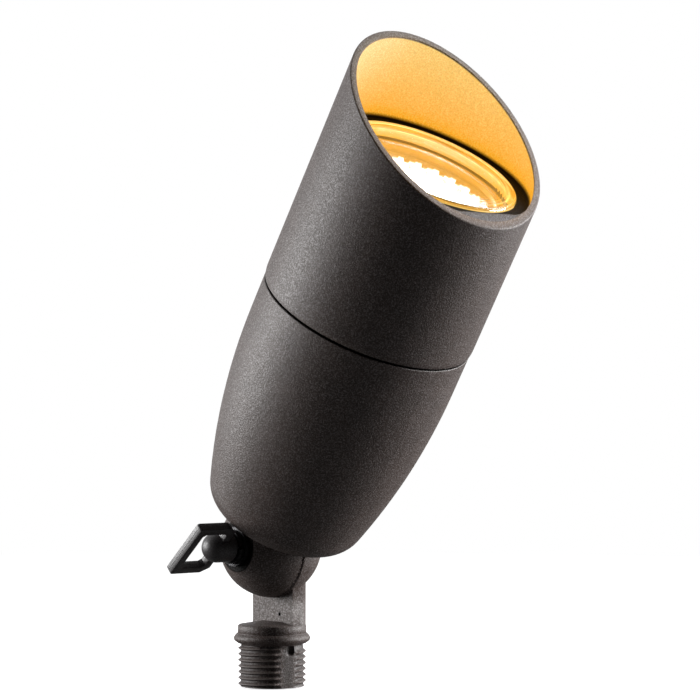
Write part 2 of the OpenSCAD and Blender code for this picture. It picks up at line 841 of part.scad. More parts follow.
module stem() {
  color(coat)
    difference() {
      union() {
        on_screw()
          stem_half_ball();
        stem_neck();
        stem_spigot();
      }
      // Wire chamber, seal groove, seat of the insert and teeth of the joint face
      on_screw() {
        wire_chamber(split_y - half_gap - chamber_depth, split_y + 1);
        ring(
          seal_r + seal_groove_w / 2,
          seal_r - seal_groove_w / 2,
          split_y - half_gap - seal_groove_d,
          seal_groove_d + 1
        );
        translate([0, 0, insert_low])
          cylinder(h = insert_l + 2, r = insert_r + seat_gap);
        translate([0, 0, drill_end])
          cylinder(h = insert_l, r = screw_r + free_gap);
        tooth_grooves(split_y - half_gap);
      }
      // Wire way: a wide bore in the threaded end, then a narrow one up to the chamber
      translate([0, 0, -1])
        cylinder(h = inlet_depth + 1, r = inlet_r);
      translate([0, wire_bore_y, inlet_depth - 1])
        cylinder(h = pivot_h - screw_boss_r - 1 - inlet_depth, r = wire_bore_r);
      // Flats and notch along the parting lines of the thread
      rotate([0, 0, thread_flat_turn]) {
        for (s = [0, 180])
          rotate([0, 0, s])
            translate([thread_flat, -thread_r, -1])
              cube([thread_r, 2 * thread_r, flat_top_z + 1]);
        translate([notch_r, -notch_w / 2, notch_top_z - notch_h])
          cube([thread_r, notch_w, notch_h]);
      }
    }
}

module screw_insert() {
  color("goldenrod")
    on_screw()
      ring(insert_r, screw_hole_r, insert_low, insert_l);
}

module knuckle_seal() {
  color("black")
    on_screw()
      translate([0, 0, split_y - half_gap - seal_groove_d + seat_gap + seal_d / 2])
        rotate_extrude()
          translate([seal_r, 0])
            circle(d = seal_d, $fn = 24);
}

module inlet_seal() {
  color("black")
    ring(inlet_r - seat_gap, lead_hole_r, inlet_seal_z, inlet_seal_h);
}

module flat_washer() {
  color("silver")
    on_screw()
      ring(washer_r, screw_hole_r, washer_low, washer_t);
}

module spring_washer() {
  color("silver")
    on_screw()
      difference() {
        ring(spring_r, screw_hole_r, spring_low, spring_t);
        translate([spring_r / 2, 0, spring_low + spring_t / 2])
          rotate([spring_cut_lean, 0, 0])
            cube([spring_r + 1, spring_cut, 3 * spring_t], center = true);
      }
}

// Outside of the loop: rounds at its two outer corners, and slants at the two next to the housing
function loop_outline(l, y0, y1) = concat(
  [[loop_slant_l - l / 2, y0], [l / 2 - loop_slant_l, y0], [l / 2, y0 + loop_slant_d]],
  arc([l / 2 - loop_round, y1 - loop_round], loop_round, 0, 90, 6),
  arc([loop_round - l / 2, y1 - loop_round], loop_round, 90, 180, 6),
  [[-l / 2, y0 + loop_slant_d]]
);
// Outline with equal chamfers at its four corners
function chamfered(l, y0, y1, c) = [
  [l / 2 - c, y0], [l / 2, y0 + c], [l / 2, y1 - c], [l / 2 - c, y1],
  [c - l / 2, y1], [-l / 2, y1 - c], [-l / 2, y0 + c], [c - l / 2, y0]
];

// Wing handle: a flat rectangular loop cast in one piece with a round hub
module wing_handle() {
  color([0.2, 0.18, 0.175])
    on_screw()
      rotate([0, 0, wing_turn])
        difference() {
          union() {
            rotate([90, 0, 0])
              translate([0, 0, -loop_t / 2])
                linear_extrude(loop_t)
                  difference() {
                    polygon(loop_outline(loop_l, loop_low, loop_end));
                    polygon(chamfered(
                      loop_l - 2 * bar_w, loop_low + bar_w, loop_end - bar_w, window_chamfer));
                  }
            rotate_extrude()
              polygon(concat(
                [[0, hub_low], [hub_r - hub_edge, hub_low], [hub_r, hub_low + hub_edge]],
                arc([0, hub_tip - hub_r], hub_r, 0, 90, 10)
              ));
          }
          translate([0, 0, hub_low - 1])
            cylinder(h = stud_top - hub_low + 1 + seat_gap, r = screw_r + seat_gap);
        }
}

module wing_stud() {
  color("silver")
    on_screw()
      translate([0, 0, stud_end])
        cylinder(h = stud_top - stud_end, r = screw_r);
}

housing();
housing_grommet();
socket_bracket();
bracket_screws();
lamp_socket();
socket_screws();
socket_contacts();
socket_leads();
lamp_base();
lamp_pins();
lamp_burner();
lamp_reflector();
lamp_cover_glass();
neck_o_ring();
cowl();
lens();
lens_gasket();
lens_clamp_ring();
stem();
screw_insert();
knuckle_seal();
inlet_seal();
flat_washer();
spring_washer();
wing_handle();
wing_stud();
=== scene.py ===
# Garden spotlight: the looks of a cast head with a lit reflector lamp, on a toothed knuckle and a threaded
# stem. Everything is in metres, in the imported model's frame: +Z up, the head leaning towards +X and the wing
# towards -Y.
import json
from math import atan2, cos, floor, hypot, pi, radians, sin, sqrt, tan

import bmesh
import bpy
from mathutils import Matrix, Vector


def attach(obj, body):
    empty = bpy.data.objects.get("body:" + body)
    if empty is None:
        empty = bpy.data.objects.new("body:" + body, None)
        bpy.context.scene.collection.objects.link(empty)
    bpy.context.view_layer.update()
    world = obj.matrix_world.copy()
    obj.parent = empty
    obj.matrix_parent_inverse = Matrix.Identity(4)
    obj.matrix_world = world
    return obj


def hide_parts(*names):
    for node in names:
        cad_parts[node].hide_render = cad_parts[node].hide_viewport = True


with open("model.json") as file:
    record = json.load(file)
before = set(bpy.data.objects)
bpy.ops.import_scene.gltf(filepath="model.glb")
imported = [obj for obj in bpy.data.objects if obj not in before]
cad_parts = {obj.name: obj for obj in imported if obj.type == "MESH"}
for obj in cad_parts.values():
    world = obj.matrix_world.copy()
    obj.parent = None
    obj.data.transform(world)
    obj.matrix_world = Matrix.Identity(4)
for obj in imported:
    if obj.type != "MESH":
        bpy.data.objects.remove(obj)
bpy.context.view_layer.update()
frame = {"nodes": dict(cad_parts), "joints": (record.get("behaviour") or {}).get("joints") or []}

# The photographer's camera: a long lens, a little below the lamp's middle and looking slightly upwards,
# from in front of the wing's side of the head.
camera_data = bpy.data.cameras.new("camera")
camera_data.sensor_width = 36
camera_data.lens = 135.28
camera_data.clip_start = 0.05
camera_data.clip_end = 20
camera = bpy.data.objects.new("camera", camera_data)
camera.location = (0.61651, -0.52947, 0.08893)
camera.rotation_euler = (radians(91.0243), 0, radians(47.6491))
bpy.context.scene.collection.objects.link(camera)
bpy.context.scene.camera = camera
bpy.context.scene.view_settings.view_transform = "Standard"


# The studio: a white floor that runs out into a white surround, with a soft lamp behind each side of the head
# and one above its back. The room is dark on the camera's side, so that the head's middle stays dark between
# lit edges.
def node_maker(tree):
    """Returns a function that adds a node with settings and inputs, where a socket as a value is linked."""
    def add(kind, inputs=None, **settings):
        node = tree.nodes.new(kind)
        for name, value in settings.items():
            setattr(node, name, value)
        for name, value in (inputs or {}).items():
            if isinstance(value, bpy.types.NodeSocket):
                tree.links.new(value, node.inputs[name])
            else:
                node.inputs[name].default_value = value
        return node
    return add


def emptied_tree(owner):
    """Empties the node tree of a world or material and returns the function that adds its nodes."""
    owner.use_nodes = True
    owner.node_tree.nodes.clear()
    return node_maker(owner.node_tree)


def along_line(add, place, direction):
    """Adds how far a place lies along a direction."""
    return add("ShaderNodeVectorMath", {0: place, 1: direction}, operation="DOT_PRODUCT").outputs["Value"]


def seen_by_camera(add):
    """Adds a mask of the camera's rays, straight or through glass."""
    rays = add("ShaderNodeLightPath").outputs
    return add("ShaderNodeMath", {0: rays["Is Camera Ray"], 1: rays["Is Transmission Ray"]},
               operation="MAXIMUM").outputs[0]


camera_side = (0.74, -0.67, 0.0)
room_level = 0.8
world = bpy.data.worlds.new("studio")
bpy.context.scene.world = world
add = emptied_tree(world)
facing = along_line(add, add("ShaderNodeTexCoord").outputs["Generated"], camera_side)
room = add("ShaderNodeMapRange", {"Value": facing, "From Min": -0.25, "From Max": 0.36, "To Min": room_level,
                                  "To Max": 0.0}, interpolation_type="SMOOTHSTEP").outputs["Result"]
room_light = add("ShaderNodeBackground", {"Color": (0.97, 0.98, 1, 1), "Strength": room})
white = add("ShaderNodeBackground", {"Color": (1, 1, 1, 1), "Strength": 1.0})
mixed = add("ShaderNodeMixShader", {0: seen_by_camera(add), 1: room_light.outputs[0], 2: white.outputs[0]})
add("ShaderNodeOutputWorld", {"Surface": mixed.outputs[0]})

floor_r = 6
floor_gap = 0.0003
fade_from = 0.08
fade_to = 0.7
bounce_grey = 0.12
seen_grey = 0.9
seen_lift = 0.7
floor_mesh = bpy.data.meshes.new("floor")
floor_bm = bmesh.new()
bmesh.ops.create_circle(floor_bm, cap_ends=True, segments=96, radius=floor_r)
bmesh.ops.translate(floor_bm, verts=floor_bm.verts, vec=(0, 0, -floor_gap))
floor_bm.to_mesh(floor_mesh)
floor_bm.free()
studio_floor = bpy.data.objects.new("floor", floor_mesh)
bpy.context.scene.collection.objects.link(studio_floor)
floor_paper = bpy.data.materials.new("floor_paper")
add = emptied_tree(floor_paper)
place = add("ShaderNodeTexCoord").outputs["Object"]
distance = add("ShaderNodeVectorMath", {0: place}, operation="LENGTH").outputs["Value"]
far = add("ShaderNodeMapRange", {"Value": distance, "From Min": fade_from, "From Max": fade_to}).outputs[0]
seen = seen_by_camera(add)
tone = add("ShaderNodeMix", {0: seen, 2: bounce_grey, 3: seen_grey}).outputs[0]
paper = add("ShaderNodeBsdfDiffuse", {"Color": tone})
lift = add("ShaderNodeEmission", {"Color": (1, 1, 1, 1), "Strength": seen_lift})
no_lift = add("ShaderNodeEmission", {"Color": (0, 0, 0, 1), "Strength": 0})
near_lift = add("ShaderNodeMixShader", {0: seen, 1: no_lift.outputs[0], 2: lift.outputs[0]})
near = add("ShaderNodeAddShader", {0: paper.outputs[0], 1: near_lift.outputs[0]})
white = add("ShaderNodeEmission", {"Color": (1, 1, 1, 1), "Strength": 1})
fade = add("ShaderNodeMath", {0: far, 1: seen}, operation="MULTIPLY")
mixed = add("ShaderNodeMixShader", {0: fade.outputs[0], 1: near.outputs[0], 2: white.outputs[0]})
add("ShaderNodeOutputMaterial", {"Surface": mixed.outputs[0]})
floor_mesh.materials.append(floor_paper)


def soft_lamp(name, place, target, width, height, watts):
    """Adds a rectangular lamp at a place, aimed at a target."""
    data = bpy.data.lights.new(name, "AREA")
    data.shape = "RECTANGLE"
    data.size = width
    data.size_y = height
    data.energy = watts
    lamp = bpy.data.objects.new(name, data)
    lamp.location = place
    lamp.rotation_euler = (Vector(target) - Vector(place)).to_track_quat("-Z", "Y").to_euler()
    bpy.context.scene.collection.objects.link(lamp)


head_middle = (0.03, 0, 0.11)
cowl_back = (0.08, 0, 0.16)
soft_lamp("left_softbox", (-0.63, -0.53, 0.18), head_middle, width=0.40, height=0.36, watts=8.6)
soft_lamp("right_softbox", (0.42, 0.70, 0.18), head_middle, width=0.40, height=0.36, watts=11)
soft_lamp("rear_softbox", (0.25, 0.75, 0.75), cowl_back, width=0.40, height=0.40, watts=4)


# The finish of the cast parts is a matte dark bronze powder coat, sprayed on and baked, whose fine grain
# catches the light as small pale specks. One node group gives every fine-grained finish its colour, roughness
# and relief.
def value_group(name, inputs, outputs):
    """A shader node group with the named sockets, the function that adds its nodes, and what it is given."""
    group = bpy.data.node_groups.new(name, "ShaderNodeTree")
    for socket, kind, default in inputs:
        item = group.interface.new_socket(socket, in_out="INPUT", socket_type=kind)
        if default is not None:
            item.default_value = default
    for socket, kind in outputs:
        group.interface.new_socket(socket, in_out="OUTPUT", socket_type=kind)
    add = node_maker(group)
    return group, add, add("NodeGroupInput").outputs


def spread(add, value, low, high, out_low=0.0, out_high=1.0, kind="LINEAR"):
    """Adds a clamped map from one range to another and returns its result."""
    return add("ShaderNodeMapRange", {"Value": value, "From Min": low, "From Max": high, "To Min": out_low,
                                      "To Max": out_high}, interpolation_type=kind).outputs["Result"]


def times(add, first, second):
    """Adds a product of two values."""
    return add("ShaderNodeMath", {0: first, 1: second}, operation="MULTIPLY").outputs[0]


def scaled(add, colour, factor):
    """Adds a colour made stronger or weaker by a factor."""
    return add("ShaderNodeVectorMath", {0: colour, "Scale": factor}, operation="SCALE").outputs["Vector"]


def colour_mix(add, factor, first, second):
    """Adds a mix of two colours and returns its result."""
    return add("ShaderNodeMix", {0: factor, 6: first, 7: second}, data_type="RGBA").outputs[2]


grain_group, add, given = value_group(
    "fine_grain",
    [("Place", "NodeSocketVector", None), ("Colour", "NodeSocketColor", (0.05, 0.04, 0.038, 1)),
     ("Speck Colour", "NodeSocketColor", (0.2, 0.18, 0.19, 1)), ("Grain Scale", "NodeSocketFloat", 1900.0),
     ("Speck Share", "NodeSocketFloat", 0.6), ("Rough Low", "NodeSocketFloat", 0.62),
     ("Rough High", "NodeSocketFloat", 0.42)],
    [("Colour", "NodeSocketColor"), ("Roughness", "NodeSocketFloat"), ("Height", "NodeSocketFloat")])
grain = add("ShaderNodeTexNoise", {"Vector": given["Place"], "Scale": given["Grain Scale"], "Detail": 2.0,
                                   "Roughness": 0.6}).outputs["Fac"]
blotch = add("ShaderNodeTexNoise", {"Vector": given["Place"], "Scale": 160.0, "Detail": 2.0}).outputs["Fac"]
speck = times(add, spread(add, grain, 0.46, 0.74), given["Speck Share"])
base = scaled(add, given["Colour"], spread(add, blotch, 0.3, 0.7, 0.86, 1.12))
colour = colour_mix(add, speck, base, given["Speck Colour"])
grain_share = spread(add, grain, 0.3, 0.7)
rough = add("ShaderNodeMix", {0: grain_share, 2: given["Rough Low"], 3: given["Rough High"]}).outputs[0]
add("NodeGroupOutput", {"Colour": colour, "Roughness": rough, "Height": grain})


def principled(add, inputs):
    """Adds a Principled shader with its inputs, joined to the material's output."""
    surface = add("ShaderNodeBsdfPrincipled", inputs)
    add("ShaderNodeOutputMaterial", {"Surface": surface.outputs[0]})
    return surface


def grained(name, colour, speck_colour, speck_share, grain_scale, relief, rough=(0.62, 0.42),
            stretch=(1, 1, 1), **plain):
    """A fine-grained material, with its tree, the function that adds its nodes, the place on the piece, the
    grain group's node and the shader."""
    material = bpy.data.materials.new(name)
    add = emptied_tree(material)
    place = add("ShaderNodeTexCoord").outputs["Object"]
    stretched = add("ShaderNodeMapping", {"Vector": place, "Scale": stretch}).outputs["Vector"]
    powder = add("ShaderNodeGroup", {
        "Place": stretched, "Colour": (*colour, 1), "Speck Colour": (*speck_colour, 1),
        "Speck Share": speck_share, "Grain Scale": grain_scale, "Rough Low": rough[0],
        "Rough High": rough[1]}, node_tree=grain_group)
    bump = add("ShaderNodeBump", {"Strength": relief, "Distance": 0.00025,
                                  "Height": powder.outputs["Height"]})
    surface = principled(add, {
        "Base Color": powder.outputs["Colour"], "Roughness": powder.outputs["Roughness"],
        "Normal": bump.outputs["Normal"]})
    for socket, value in plain.items():
        surface.inputs[socket.replace("_", " ")].default_value = value
    return material, material.node_tree, add, place, powder, surface


coat_look = dict(colour=(0.045, 0.028, 0.021), speck_colour=(0.33, 0.295, 0.295), speck_share=0.60,
                 grain_scale=2300, relief=0.6, rough=(0.62, 0.42))

# Stem: one aluminium die casting. Its lower end is a male pipe thread with plain strips along the parting
# lines, under a rounded flange and a collar; above these it is the toothed half of the knuckle.
nodes = frame["nodes"]
weld_gap = 2e-6
cut_gap = 1e-7


def plane_cut(bm, point, outwards, clear=True):
    """Cuts a bmesh at a plane, clears what lies outwards of it, and returns the cut's edges and vertices."""
    return bmesh.ops.bisect_plane(bm, geom=bm.verts[:] + bm.edges[:] + bm.faces[:], plane_co=point,
                                  plane_no=outwards, clear_outer=clear, dist=cut_gap)["geom_cut"]


def as_piece(name, bm, sharp, place=None):
    """Makes a bmesh into an object, with its place in its mesh, smooth but for edges sharper than sharp."""
    if place is not None:
        bmesh.ops.transform(bm, matrix=place, verts=bm.verts)
    bmesh.ops.remove_doubles(bm, verts=bm.verts, dist=cut_gap)
    bmesh.ops.recalc_face_normals(bm, faces=bm.faces)
    mesh = bpy.data.meshes.new(name)
    bm.to_mesh(mesh)
    bm.free()
    mesh.polygons.foreach_set("use_smooth", [True] * len(mesh.polygons))
    mesh.set_sharp_from_angle(angle=radians(sharp))
    piece = bpy.data.objects.new(name, mesh)
    bpy.context.scene.collection.objects.link(piece)
    return piece


def axis_distance(add, place):
    """Adds nodes that split a place into its parts, and give its distance from the Z axis."""
    parts = add("ShaderNodeSeparateXYZ", {0: place}).outputs
    flat = add("ShaderNodeCombineXYZ", {0: parts["X"], 1: parts["Y"]}).outputs[0]
    return parts, add("ShaderNodeVectorMath", {0: flat}, operation="LENGTH").outputs["Value"]


def distance_from(add, place, centre):
    """Adds a place's distance from a point."""
    return add("ShaderNodeVectorMath", {0: place, 1: centre}, operation="DISTANCE").outputs["Value"]


thread_pitch = 0.0254 / 14
crest_r = 0.01045
root_r = 0.00965
crest_round = 0.0001
relief_r = 0.00955
thread_top = 0.0122
cut_z = 0.01285
inlet_r = 0.0060
foot_chamfer = 0.0006
parting_turn = radians(-10)
parting_strip = 0.0094
# A crest passes the left side of the stem, as the camera sees it, at this turn and height
crest_angle = radians(-132.4)
crest_z = 0.0117
turns_below_crest = 8
turns = 9
steps_per_turn = 160
# The sprue's stub has left a drop-shaped pit in the front strip, right under the flange
pit_side = 0.0010
pit_z = 0.0118
pit_half_w = 0.0015
pit_half_h = 0.0019
pit_depth = 0.0011
# One turn of the thread as radii and heights, with the heights as shares of the pitch
thread_outline = [(root_r, 0.0), (root_r, 0.14), (crest_r - crest_round, 0.42), (crest_r, 0.46),
                  (crest_r, 0.54), (crest_r - crest_round, 0.58), (root_r, 0.86), (root_r, 1.0)]
stem_bm = bmesh.new()
start = crest_z - thread_pitch * (0.5 + turns_below_crest)
verts = [stem_bm.verts.new((r * cos(crest_angle), r * sin(crest_angle), start + share * thread_pitch))
         for r, share in thread_outline]
edges = [stem_bm.edges.new(pair) for pair in zip(verts, verts[1:])]
bmesh.ops.spin(stem_bm, geom=verts + edges, cent=(0, 0, 0), axis=(0, 0, 1), angle=2 * pi * turns,
               steps=steps_per_turn * turns, dvec=(0, 0, thread_pitch / steps_per_turn))
bmesh.ops.remove_doubles(stem_bm, verts=stem_bm.verts, dist=weld_gap)
strip_turn = Matrix.Rotation(parting_turn, 4, "Z")
for vert in stem_bm.verts:
    radius = hypot(vert.co.x, vert.co.y)
    height = vert.co.z
    limit = crest_r - foot_chamfer + max(height, 0)
    if height > thread_top:
        limit = min(limit, relief_r)
    if radius > limit:
        vert.co.x *= limit / radius
        vert.co.y *= limit / radius
    across = strip_turn.inverted() @ vert.co
    if abs(across.x) > parting_strip and height < thread_top:
        across.x = parting_strip if across.x > 0 else -parting_strip
        vert.co = strip_turn @ across
    pit_reach = hypot((across.y - pit_side) / pit_half_w, (height - pit_z) / pit_half_h)
    if across.x > 0 and pit_reach < 1:
        across.x -= pit_depth * (1 - pit_reach ** 4)
        vert.co = strip_turn @ across
plane_cut(stem_bm, (0, 0, 0), (0, 0, -1))
plane_cut(stem_bm, (0, 0, cut_z), (0, 0, 1))
bmesh.ops.create_cone(stem_bm, segments=96, radius1=inlet_r, radius2=inlet_r, depth=cut_z, cap_ends=False,
                      matrix=Matrix.Translation((0, 0, cut_z / 2)))
for height in (0.0, cut_z):
    rim = [edge for edge in stem_bm.edges
           if edge.is_boundary and all(abs(vert.co.z - height) < weld_gap for vert in edge.verts)]
    bmesh.ops.triangle_fill(stem_bm, edges=rim, use_beauty=True)
spigot = as_piece("stem_spigot", stem_bm, sharp=32)

# The casting above the thread keeps the exact solid's flange, collar, neck and teeth
stem_bm = bmesh.new()
stem_bm.from_mesh(nodes["stem"].data)
bmesh.ops.remove_doubles(stem_bm, verts=stem_bm.verts, dist=weld_gap)
plane_cut(stem_bm, (0, 0, cut_z), (0, 0, -1))
rim = [edge for edge in stem_bm.edges if edge.is_boundary]
bmesh.ops.triangle_fill(stem_bm, edges=rim, use_beauty=True)
stem = as_piece("stem_casting", stem_bm, sharp=32)

# On the thread the crests get a painted highlight, strongest at the foot, and the roots get painted shade. The
# parting strips' flat faces are painted paler, a little less pale towards their sides
crest_highlight_colour = (0.22, 0.19, 0.18, 1)
crest_highlight_foot = 0.75
crest_highlight_top = 0.55
root_shade_tone = 0.45
strip_tone = 1.7
side_tone = 0.9
strip_half_w = 0.0044
thread_coat, tree, add, place, powder, surface = grained("thread_coat", **coat_look)
parts, radius = axis_distance(add, place)
crest_highlight = times(add, spread(add, radius, root_r + 0.0005, crest_r),
               spread(add, parts["Z"], 0.0, thread_top, crest_highlight_foot, crest_highlight_top))
shaded = scaled(add, powder.outputs["Colour"],
                spread(add, radius, root_r - 0.0002, root_r + 0.0003, root_shade_tone, 1))
along_strip = along_line(add, place, (cos(parting_turn), sin(parting_turn), 0))
across_strip = along_line(add, place, (-sin(parting_turn), cos(parting_turn), 0))
strip_side = add("ShaderNodeMath", {0: across_strip}, operation="ABSOLUTE").outputs[0]
strip_face = spread(add, along_strip, parting_strip - 0.00012, parting_strip - 0.00003, 1, strip_tone)
strip_sides = spread(add, strip_side, strip_half_w, strip_half_w + 0.0004, 1, side_tone)
on_strip = times(add, strip_face, strip_sides)
highlit_thread = colour_mix(add, crest_highlight, shaded, crest_highlight_colour)
tree.links.new(scaled(add, highlit_thread, on_strip), surface.inputs["Base Color"])

# A pinhole in the casting has stayed open in the neck's flat face; it isn't modelled, and the shade in it is
# painted as a dark spot
pinhole_place = (0.0033, 0.0002, 0.0222)
pinhole_r = 0.0004
pinhole_edge = 0.0004
stem_coat, tree, add, place, powder, surface = grained("stem_coat", **coat_look)
off_pinhole_shade = spread(add, distance_from(add, place, pinhole_place), pinhole_r, pinhole_r + pinhole_edge)
tree.links.new(scaled(add, powder.outputs["Colour"], off_pinhole_shade), surface.inputs["Base Color"])
tree.links.new(times(add, off_pinhole_shade, 0.4), surface.inputs["Specular IOR Level"])
for piece, coat in ((stem, stem_coat), (spigot, thread_coat)):
    piece.data.materials.append(coat)
    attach(piece, "stem")
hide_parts("stem")


# Seals and insert of the stem: a rubber ring in the joint face's groove, a rubber plug round the lead in the
# threaded end, and the brass insert that the wing screw turns in.
def finish_node(name, material):
    """Gives a CAD node that shows as it is its finished material."""
    nodes[name].data.materials.clear()
    nodes[name].data.materials.append(material)


rubber = grained("moulded_rubber", (0.012, 0.012, 0.012), speck_colour=(0.04, 0.04, 0.04), speck_share=0.3,
                 grain_scale=1500, relief=0.15, rough=(0.75, 0.6))[0]
turned_brass = grained("turned_brass", (0.62, 0.42, 0.16), speck_colour=(0.75, 0.56, 0.27), speck_share=0.3,
                       grain_scale=900, relief=0.12, rough=(0.38, 0.26), stretch=(1, 6, 1), Metallic=1.0)[0]
finish_node("knuckle_seal", rubber)
finish_node("inlet_seal", rubber)
finish_node("screw_insert", turned_brass)

# Housing: an ogive aluminium casting in one piece with the toothed front half of the knuckle, and with the
# neck that the cowl goes over. It has the stem's powder coat, with painted shade on the turned face under the
# washers, where the wing and its hub shade it, and painted shade along the seam under the cowl.
joints = {joint["name"]: joint for joint in frame["joints"]}
head_origin = Vector(joints["cowl_turn"]["pos_m"])
head_axis = Vector(joints["cowl_turn"]["axis"])
seam_h = 0.0836
washer_face = (0, -0.0143, 0.0434)
washer_face_r = 0.0077
washer_shade_tone = 0.08
seam_shade_tone = 0.05
housing_coat, tree, add, place, powder, surface = grained("housing_coat", **coat_look)
off_washers = distance_from(add, place, washer_face)
along = along_line(add, place, head_axis)
seam_along = seam_h + head_origin.dot(head_axis)
housing_painted_shade = times(add, spread(add, off_washers, washer_face_r, washer_face_r + 0.0003, washer_shade_tone, 1),
               spread(add, along, seam_along - 0.0002, seam_along - 0.00008, 1, seam_shade_tone))
tree.links.new(scaled(add, powder.outputs["Colour"], housing_painted_shade), surface.inputs["Base Color"])
tree.links.new(times(add, housing_painted_shade, 0.5), surface.inputs["Specular IOR Level"])
finish_node("housing", housing_coat)

# Lead way and socket in the housing: a rubber grommet, a zinc-plated bracket on two posts with its screws,
# and a glazed ceramic socket whose brass contacts have two silicone-covered leads.
zinc_plate = grained("zinc_plate", (0.58, 0.59, 0.60), speck_colour=(0.72, 0.73, 0.76), speck_share=0.4,
                     grain_scale=500, relief=0.1, rough=(0.42, 0.30), Metallic=1.0)[0]
ceramic = grained("fired_ceramic", (0.72, 0.69, 0.60), speck_colour=(0.85, 0.83, 0.76), speck_share=0.3,
                  grain_scale=1200, relief=0.12, rough=(0.45, 0.30))[0]
silicone = grained("silicone_cover", (0.70, 0.68, 0.62), speck_colour=(0.80, 0.79, 0.75), speck_share=0.2,
                   grain_scale=900, relief=0.08, rough=(0.55, 0.45))[0]
for name in ("socket_bracket", "bracket_screws", "socket_screws"):
    finish_node(name, zinc_plate)
finish_node("housing_grommet", rubber)
finish_node("lamp_socket", ceramic)
finish_node("socket_contacts", turned_brass)
finish_node("socket_leads", silicone)


# Lamp: a 50 mm reflector lamp. Its two pins stand in a ceramic base, its quartz burner is lit, and its
# pressed glass reflector has mirror facets on the inside, behind a thin cover glass.
def turn_outline(bm, outline, steps, closed=True):
    """Spins an outline of (radius, height) points a full turn round Z."""
    verts = [bm.verts.new((radius, 0, height)) for radius, height in outline]
    ends = verts[1:] + verts[:1] if closed else verts[1:]
    edges = [bm.edges.new(pair) for pair in zip(verts, ends)]
    bmesh.ops.spin(bm, geom=verts + edges, cent=(0, 0, 0), axis=(0, 0, 1), angle=2 * pi, steps=steps,
                   use_merge=True)
    bmesh.ops.remove_doubles(bm, verts=bm.verts, dist=cut_gap)
    bmesh.ops.recalc_face_normals(bm, faces=bm.faces)


def head_place_of(add):
    """Adds nodes that give a point's place on the head, its parts, and its distance from the head's axis."""
    place = add("ShaderNodeTexCoord").outputs["Object"]
    on_axis = add("ShaderNodeMapping", {"Vector": place, "Location": head_origin,
                                        "Rotation": (0, head_lean, 0)}, vector_type="TEXTURE").outputs[0]
    return on_axis, *axis_distance(add, on_axis)


def plus(add, first, second):
    """Adds a sum of two values."""
    return add("ShaderNodeMath", {0: first, 1: second}, operation="ADD").outputs[0]


head_lean = atan2(head_axis.x, head_axis.z)
on_head = Matrix.Translation(head_origin) @ Matrix.Rotation(head_lean, 4, "Y")
lamp_front = 0.1245
lamp_r = 0.0250
bowl_depth = 0.0260
bowl_in_r = 0.0228
bowl_rim_h = 0.0024
bowl_neck_r = 0.0060
bowl_neck_l = 0.0034
bowl_wall = 0.0013
glass_seat_h = 0.00112
glass_seat_w = 0.0009
facet_rows = 16
facet_steps = 72
# The facets' reflections are painted as emission: the lit burner's white up to this height, give or take the
# jitter, and above it amber, a painted reflection of the lens's lit rim
amber_z = lamp_front - 0.0047
amber_fade = 0.0009
facet_jitter = 0.0011
golden_share = 0.618034
shade_stride = 41
satin_steel = grained("satin_steel", (0.50, 0.50, 0.52), speck_colour=(0.62, 0.62, 0.65), speck_share=0.4,
                      grain_scale=700, relief=0.1, rough=(0.42, 0.28), stretch=(1, 1, 8), Metallic=1.0)[0]
finish_node("lamp_base", ceramic)
finish_node("lamp_pins", satin_steel)
bowl_low = lamp_front - bowl_depth
bowl_h = bowl_depth - bowl_rim_h
bowl_rows = [(sqrt(bowl_neck_r ** 2 + (bowl_in_r ** 2 - bowl_neck_r ** 2) * row / facet_rows),
              bowl_low + bowl_h * row / facet_rows) for row in range(facet_rows + 1)]
lamp_bm = bmesh.new()
turn_outline(lamp_bm, [(bowl_neck_r, bowl_low - bowl_neck_l)] + bowl_rows + [
    (bowl_in_r, lamp_front - glass_seat_h), (bowl_in_r + glass_seat_w, lamp_front - glass_seat_h),
    (bowl_in_r + glass_seat_w, lamp_front), (lamp_r, lamp_front), (lamp_r, lamp_front - bowl_rim_h)] + [
    (radius + bowl_wall, height) for radius, height in reversed(bowl_rows)] + [
    (bowl_neck_r + bowl_wall, bowl_low - bowl_neck_l)], steps=facet_steps)
reflector = as_piece("lamp_facets", lamp_bm, sharp=1, place=on_head)
# Each facet's shade follows its row and its step round the axis, because the order of a turned mesh's faces
# isn't the same in every run
facet_shade = reflector.data.attributes.new("facet_shade", "FLOAT", "FACE")
for face, shade in zip(reflector.data.polygons, facet_shade.data):
    middle = on_head.inverted() @ face.center
    row = floor((middle.z - bowl_low) / bowl_h * facet_rows + 0.25)
    step = floor(atan2(middle.y, middle.x) % (2 * pi) / (2 * pi) * facet_steps + 0.25)
    shade.value = (step * shade_stride + row) * golden_share % 1

facet_mirror = bpy.data.materials.new("facet_mirror")
add = emptied_tree(facet_mirror)
_, parts, _ = head_place_of(add)
shade = add("ShaderNodeAttribute", attribute_name="facet_shade").outputs["Fac"]
height = plus(add, parts["Z"], times(add, shade, facet_jitter))
amber = spread(add, height, amber_z, amber_z + amber_fade)
border = spread(add, height, amber_z - 0.0019, amber_z - 0.0013)
tinted = times(add, border, spread(add, shade, 0.45, 0.6))
white_light = colour_mix(add, tinted, (6, 6, 6, 1), (1.0, 1.05, 0.62, 1))
lit_colour = colour_mix(add, amber, white_light, (0.56, 0.235, 0.02, 1))
mirror = colour_mix(add, shade, (0.80, 0.80, 0.78, 1), (0.92, 0.92, 0.90, 1))
off_neck = spread(add, parts["Z"], bowl_low - 0.0004, bowl_low)
principled(add, {
    "Base Color": colour_mix(add, amber, mirror, (0.07, 0.03, 0.005, 1)), "Metallic": 1.0,
    "Roughness": spread(add, shade, 0, 1, 0.08, 0.16),
    "Emission Color": scaled(add, lit_colour, off_neck), "Emission Strength": 1.0})
reflector.data.materials.append(facet_mirror)
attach(reflector, "head")
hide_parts("lamp_reflector")

